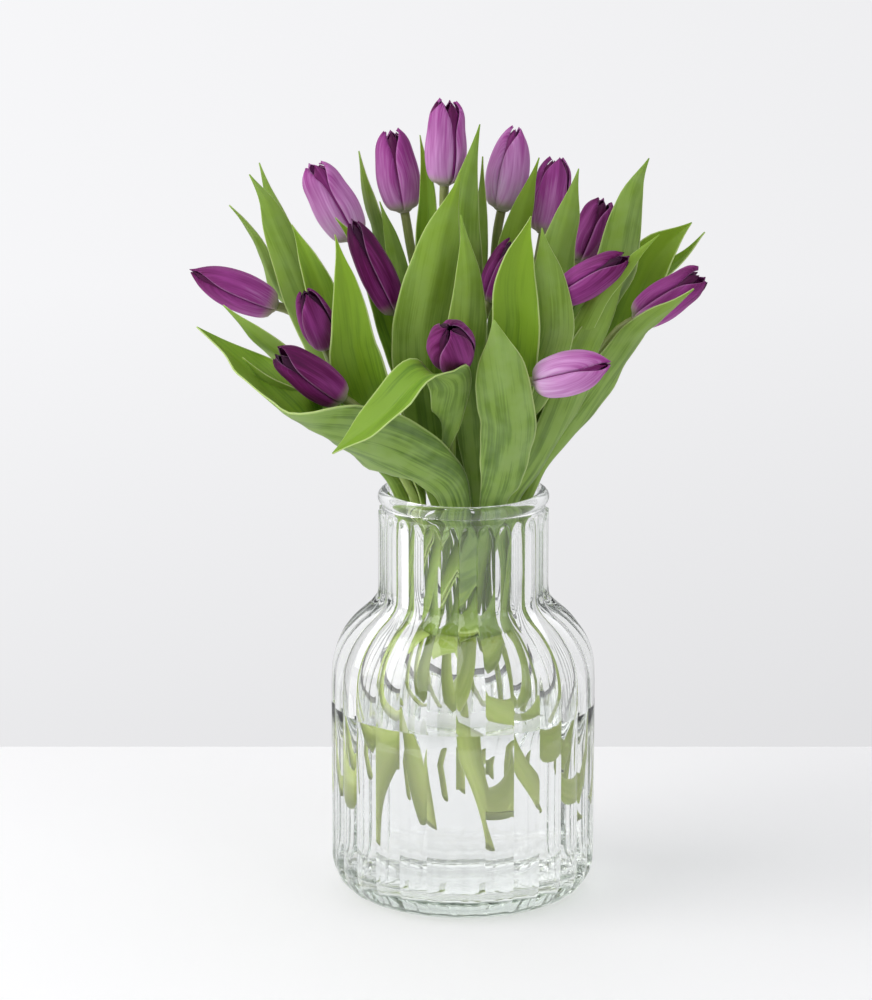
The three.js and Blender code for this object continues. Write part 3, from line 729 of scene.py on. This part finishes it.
# %% [markdown]
# ## Leaves
# A leaf starts as a flat grid whose two long edges are its margins. Each point of the grid is then
# carried to its place: the midrib's line sets where a row stands, and the row is bent round the stem
# at the foot, opens to a shallow gutter, and closes to a point. Below the foot the sheet runs on down
# the stem as a sheath, which is what a hand-tied bunch shows inside the neck of its vase.
# Ripples along the margins and a soft keel on the midrib are what keep a leaf from looking like cut
# card. The Solidify modifier gives the sheet its thickness, and hands its inner side the other leaf
# material.

# %% Leaf forms
ACROSS, ALONG, THICK = 14, 64, 0.8             # the grid of a leaf, and its thickness in mm
SHEATH_TURN, SHEATH_DEPTH = 160.0, 158.0       # how far round a sheath wraps, and its lowest height
SHEATH_CLOSED = 330.0                          # and how far round lower down, where it hugs the stem
SHEATH_GAP, SHEATH_END = 1.6, 0.75             # mm from the stem's skin, at its top and below
HOOK, KEEL = 0.09, 0.06                        # how far the end bends and the midrib stands out, by width


def leaf_width(l, s, sheath_width):
    """Across a leaf: it grows out of its sheath, and past its widest place it narrows to the point."""
    grown = mix(sheath_width / l["width"], 1, ease(0.02, l["widest"], s))
    past = max(0.0, (s - l["widest"]) / (1 - l["widest"]))
    drawn_out = 1 - 0.3 * ease(0.84, 0.97, s)
    return max(0.5, l["width"] * drawn_out * min(grown, 1 - past ** l["blunt"]))


def leaf_turn(l, s):
    """How far round a leaf's section bends: most at the sheath, and least at the tip."""
    opened = mix(SHEATH_TURN, l["cup"], ease(0.04, 0.3, s))
    return math.radians(mix(opened, 0.6 * l["cup"], ease(0.5, 1.0, s)))


def facing(l, out, s):
    """The way its outer face looks: out from the stem at first, and then as `faces` says."""
    hints = [Vector(h).normalized() for h in (out, *l["faces"])]
    where = min(1.0, max(0.0, (s - 0.08) / 0.6)) * (len(hints) - 1)
    first = min(len(hints) - 2, int(where))
    return hints[first].lerp(hints[first + 1], where - first)


def square_to(direction, heading):
    """What is left of a direction without its part along `heading`."""
    return (direction - direction.dot(heading) * heading).normalized()


def leaf_blade(l, stem, seed):
    """A leaf as an open sheet, on a grid."""
    rng = random.Random(seed)
    ripple, beat, phase = rng.uniform(0.7, 1.5), rng.uniform(48, 75), rng.uniform(0, 6.28)
    lean, sway = rng.uniform(-0.12, 0.12), rng.uniform(0, 6.28)
    side = Vector((math.cos(math.radians(l["side"])), math.sin(math.radians(l["side"])), 0))

    def clasp(height, extra):
        """A point `extra` mm off the stem's skin, and the way out to it."""
        share = stem.share_at_height(height)
        out = square_to(side, stem.heading(share))
        return stem.point(share) + out * (stem_radius(share) + extra), out

    share = stem.share_at_height(l["base"])
    hold = stem_radius(share) + SHEATH_GAP
    foot, out = clasp(l["base"], SHEATH_GAP)
    collar, _ = clasp(l["base"] + 9, SHEATH_GAP + 0.7)
    sheath_width = hold * math.radians(SHEATH_TURN)
    midrib = Line([foot, collar, *l["path"]])
    low_points = [clasp(mix(l["base"], SHEATH_DEPTH, i / 5), SHEATH_END)[0] for i in range(5, 0, -1)]
    below = Line([*low_points, foot])

    bm = bmesh.new()
    blade, place = labels(bm)
    bmesh.ops.create_grid(bm, x_segments=ACROSS, y_segments=ALONG, size=1.0)
    sheath_share = below.length / (below.length + midrib.length)
    for v in bm.verts:
        a, way = v.co.x, (v.co.y + 1) / 2
        if way < sheath_share:
            s = way / sheath_share - 1            # -1 at the bottom of the sheath, 0 at the foot
            centre, heading = below.point(1 + s), below.heading(1 + s)
            normal = square_to(side, heading)
            wrapped = ease(0.0, 0.3, -s)
            turn = math.radians(mix(SHEATH_TURN, SHEATH_CLOSED, wrapped))
            width = (stem_radius(share) + mix(SHEATH_GAP, SHEATH_END, wrapped)) * turn
            along = s * below.length
            s *= below.length / midrib.length
        else:
            s = (way - sheath_share) / (1 - sheath_share)
            centre, heading = midrib.point(s), midrib.heading(s)
            normal = square_to(facing(l, out, s), heading)
            turn, width = leaf_turn(l, s), leaf_width(l, s, sheath_width)
            along = s * midrib.length
        open_part = ease(0.1, 0.35, s) * (1 - ease(0.82, 1.0, s))
        normal = (Matrix.Rotation(lean * ease(0.15, 1.0, s), 3, heading) @ normal)
        across = heading.cross(normal)
        # Short of its tip a leaf bows towards the middle of the bunch, so its end hooks outwards.
        inwards = -math.copysign(1.0, across.x * l["path"][-1][0])
        bowed = math.sin(math.pi * min(1.0, max(0.0, (s - 0.6) / 0.4)))
        centre = centre + across * (inwards * HOOK * l["width"] * bowed)
        radius = width / turn
        angle = a * turn / 2
        outward = normal * math.cos(angle) + across * math.sin(angle)
        spot = centre - normal * radius + outward * radius
        # Ripples grow towards the margin, the two sides are out of step, and a narrow leaf has less.
        wave = math.sin(2 * math.pi * along / beat + phase + (1.7 if a > 0 else 0.0))
        wave += 0.4 * math.sin(2 * math.pi * along / (0.41 * beat) + sway)
        spot += outward * (ripple * open_part * wave * abs(a) ** 2.2 * min(1.0, width / 22))
        # A soft keel: the midrib stands out on the under face, and more so near the point.
        spot += normal * (KEEL * width * ease(0.12, 0.6, s) * (1 - abs(a)) ** 2)
        v.co = spot
        v[blade] = Vector((a * width / 2, along, seed * 1.37))
        v[place] = Vector((abs(a), s, l["yellow"]))
    return bm


def grow(l, number, k, solid):
    """Leaf `k` of a tulip. The inner side of its sheet has the second material."""
    bm = leaf_blade(l, stems[number - 1], 10 * number + k)
    piece = finished(bm, f"leaf_{number:02d}_{k}", solid, [leaf_under, leaf_upper])
    wall = piece.modifiers.new("thickness", "SOLIDIFY")
    wall.thickness, wall.offset, wall.material_offset, wall.material_offset_rim = THICK / 1000, 0.0, 1, 0


for number, t in enumerate(tulips, 1):
    for k, l in enumerate(t["leaves"], 1):
        grow(l, number, k, f"tulip_{number:02d}_leaf_{k}")
print("a leaf sheet:", triangles_made["leaf_01_1"], "triangles before it is given thickness")

# %% [markdown]
# ## Small leaves
# Two small leaves fill gaps at the sides of the bunch. They have no solid of their own, so they ride
# on the body and replace nothing.

# %% Small leaves, by the number of their tulip
small_leaves = [
    (6, leaf(240, 225, 15, 60, [(-0.2, -0.8, -0.6)],
             [(-76, -40, 288), (-92, -50, 301), (-110, -52, 312), (-124, -52, 327)], yellow=0.6)),
    (12, leaf(250, 330, 13, 60, [(-0.3, -1, -0.2)],
              [(76, -36, 357), (90, -38, 373), (99, -38, 384), (109, -37, 394)], yellow=0.7)),
]
for number, l in small_leaves:
    grow(l, number, 3, None)
print("small leaves:", len(small_leaves))

# %% [markdown]
# ## Blooms
# A tulip in bud is six petals in two whorls: three outside, three inside and half a step round. Each
# petal is a grid laid on the egg-shaped outline of the bud. It is widest at two fifths of its height,
# its edges tuck in, so that two neighbours meet in a crease, and its point leans inwards.

# %% Petals
BUD = [(0.3, 0), (0.68, 0.05), (0.88, 0.16), (1, 0.38), (0.95, 0.57), (0.77, 0.77), (0.48, 0.92), (0.2, 1)]
bud_line = Line([(r, 0, z) for r, z in BUD])
bud_radii = [bud_line.point(bud_line.share_at_height(i / 60)).x for i in range(61)]
PETAL_ACROSS, PETAL_ALONG, PETAL_THICK = 14, 26, 0.5    # the grid of a petal, and its thickness in mm
INSIDE = 2.2                                            # how far the inner whorl stands inside, mm
# For a petal outside and then inside: half of what it spans round the bud, and its length as a share.
HALF_SPANS, LENGTHS = (62, 56), ((0.965, 1.0), (0.93, 0.97))


def bud_radius(s):
    """The bud's outline at the share `s` of its height, 1 at its widest."""
    i = min(59, int(max(0.0, s) * 60))
    return mix(bud_radii[i], bud_radii[i + 1], min(1.0, s * 60 - i))


def petal(bm, blade, place, t, k, rng):
    """One petal of an upright bud at the origin. Even ones are outside."""
    outside = k % 2 == 0
    radius = t["girth"] / 2 - (0.0 if outside else INSIDE)
    height = (Vector(t["tip"]) - Vector(t["crown"])).length * rng.uniform(*LENGTHS[k % 2])
    spread = math.radians(HALF_SPANS[k % 2])
    gap = 0.07 + 0.25 * max(0.0, t["loose"]) if outside else 0.0
    faces = math.radians(60 * k)
    part, notch = rng.uniform(-0.4, 0.9), rng.uniform(0, 6.28)
    made = bmesh.ops.create_grid(bm, x_segments=PETAL_ACROSS, y_segments=PETAL_ALONG, size=1.0)["verts"]
    for v in made:
        a, s = v.co.x, (v.co.y + 1) / 2
        past = max(0.0, (s - 0.5) / 0.5)
        half = spread * max(0.02, (1 - past ** 3) ** 0.75)
        r = radius * (bud_radius(s) + t["loose"] * ease(0.6, 1.0, s))
        angle = faces + half * a * (1 - gap * max(0.0, a))
        # One margin rolls in, and the other stands proud beside it. The crease between them is deep.
        roll = (1.3 if a > 0 else 0.4) * abs(a) ** 5
        r -= (roll + (0.45 * a if outside else 0.0)) * min(1.0, r / 6) + 0.05 * r * a * a
        r += 0.22 * math.cos(3 * math.pi * a) * ease(0.1, 0.4, s) * (1 - ease(0.8, 1.0, s))
        r += part * ease(0.72, 1.0, s)
        up = height * s - 0.8 * a * a * ease(0.5, 1.0, s)
        up += 0.35 * math.sin(9 * a + notch) * ease(0.85, 1.0, s)
        r = max(0.4, r)
        v.co = Vector((r * math.cos(angle), r * math.sin(angle), up))
        v[blade] = Vector((a * half * r, s * height, 17.3 * k + t["girth"] + t["crown"][0] * 0.31))
        # The inner petals are set 0.3 darker in tone. This is painted shade, for where they lie in shadow
        # between the outer ones.
        v[place] = Vector((abs(a), s, t["tone"] - (0.0 if outside else 0.3)))


def bloom(t, seed):
    """Six petals and their seat, stood on the stem."""
    rng = random.Random(seed)
    bm = bmesh.new()
    blade, place = labels(bm)
    for k in range(6):
        petal(bm, blade, place, t, k, rng)
    # The seat of the petals, a small green-white cushion on top of the stem.
    seat = bmesh.ops.create_uvsphere(bm, u_segments=16, v_segments=8, radius=0.36 * t["girth"] / 2)["verts"]
    bmesh.ops.scale(bm, vec=(1, 1, 0.45), verts=seat)
    bmesh.ops.translate(bm, vec=(0, 0, 0.6), verts=seat)
    for v in seat:
        v[place] = Vector((0.0, 0.0, t["tone"]))
    turned_to = Vector((0, 0, 1)).rotation_difference(bloom_axis(t)).to_matrix().to_4x4()
    spun = Matrix.Rotation(math.radians(t["turn"]), 4, "Z")
    bm.transform(Matrix.Translation(t["crown"]) @ turned_to @ spun)
    return bm


for number, t in enumerate(tulips, 1):
    bud = bloom(t, 100 + number)
    piece = finished(bud, f"bloom_{number:02d}", f"tulip_{number:02d}_bloom", [petal_purple])
    wall = piece.modifiers.new("thickness", "SOLIDIFY")
    wall.thickness, wall.offset = PETAL_THICK / 1000, 0.0
print("one bloom:", triangles_made["bloom_01"], "triangles before it is given thickness")

# %% [markdown]
# ## Table and light
# A white table ends a little way behind the vase, with a pale room behind it. Glass shows only what it
# mirrors and bends, so the room isn't one flat tone: it is brightest overhead, a little brighter on
# the left, and dimmer low down, which draws the grooves and the edges of the glass. A big soft window
# on the left does most of the lighting, and a weak lamp in front on the right fills the shadows.

# %% Table
TABLE_EDGE, HALF_WIDTH, HALF_DEPTH = 0.28, 4.0, 2.14     # metres
DROP = 0.0003                       # a hair below the glass, so that the two faces don't flicker

bm = bmesh.new()
bmesh.ops.create_grid(bm, x_segments=1, y_segments=1, size=1.0)
bmesh.ops.scale(bm, vec=(HALF_WIDTH, HALF_DEPTH, 1.0), verts=bm.verts)
bmesh.ops.translate(bm, vec=(0.0, TABLE_EDGE - HALF_DEPTH, -DROP), verts=bm.verts)
table_mesh = bpy.data.meshes.new("table")
bm.to_mesh(table_mesh)
bm.free()
table = bpy.data.objects.new("table", table_mesh)
bpy.context.collection.objects.link(table)
paint, tree = new_material("white table paint, satin")
surface = add(tree, "BsdfPrincipled", {}, {"Base Color": linear("#fdfdfe"), "Roughness": 0.6})
add(tree, "OutputMaterial", {}, {"Surface": surface.outputs[0]})
table_mesh.materials.append(paint)
print("table edge", TABLE_EDGE, "m behind the vase")

# %% Room and lamps
scene = bpy.context.scene
scene.view_settings.view_transform = "Standard"
# Spots of light that the glass mirrors onto other things are left out: they come out as noise.
scene.cycles.caustics_reflective = False
# Light is thrown to and fro inside thick glass many times, and a path cut short ends in black.
scene.cycles.max_bounces = scene.cycles.transmission_bounces = scene.cycles.glossy_bounces = 24

room = bpy.data.worlds.new("pale room")
scene.world = room
room.use_nodes = True
tree = room.node_tree
tree.nodes.clear()
where = add(tree, "TexCoord")
x, y, z = add(tree, "SeparateXYZ", {}, {0: where.outputs["Generated"]}).outputs[0:3]
light = softly(tree, y, -0.4, 0.8, 0.76, 0.725)
overhead = softly(tree, z, 0.1, 0.9, 0.0, 0.5)
# The wall is lit from the left and from above, so it greys a little towards the right and the table.
leftwards = ranged(tree, x, -0.12, 0.12, 0.08, 0.0)
upwards = ranged(tree, z, -0.32, -0.19, 0.0, 0.145)
for more in (overhead, leftwards, upwards):
    light = calc(tree, "ADD", light, more)
# A ray that has bounced finds the room dimmer, and dimmer still if it comes off a matt surface: shaded
# hollows stay deep, and the face of the glass lays no white veil over the stems.
path = add(tree, "LightPath")
for ray, part in (("Is Diffuse Ray", 0.83), ("Is Reflection Ray", 0.6)):
    light = calc(tree, "MULTIPLY", light, ranged(tree, path.outputs[ray], 0.0, 1.0, 1.0, part))
glow = add(tree, "Background", {}, {"Color": linear("#fdfdff"), "Strength": light})
add(tree, "OutputWorld", {}, {"Surface": glow.outputs[0]})


def lamp(name, spot, target, size, watts, colour):
    """A square soft box that faces `target`."""
    data = bpy.data.lights.new(name, "AREA")
    data.shape, data.size, data.energy, data.color = "SQUARE", size, watts, linear(colour)[:3]
    box = bpy.data.objects.new(name, data)
    box.location = spot
    box.rotation_euler = (Vector(target) - Vector(spot)).to_track_quat("-Z", "Y").to_euler()
    bpy.context.collection.objects.link(box)


lamp("window", (-2.2, -0.8, 1.7), (0, 0, 0.2), 2.5, 52, "#fffefc")
lamp("fill", (1.8, -2.0, 1.2), (0, 0, 0.25), 1.6, 10, "#f6f9ff")

# %% [markdown]
# ## Triangle count
# The triangles made, before the leaves and blooms are given thickness.

# %% Triangles
print("triangles, before thickness:", sum(triangles_made.values()))
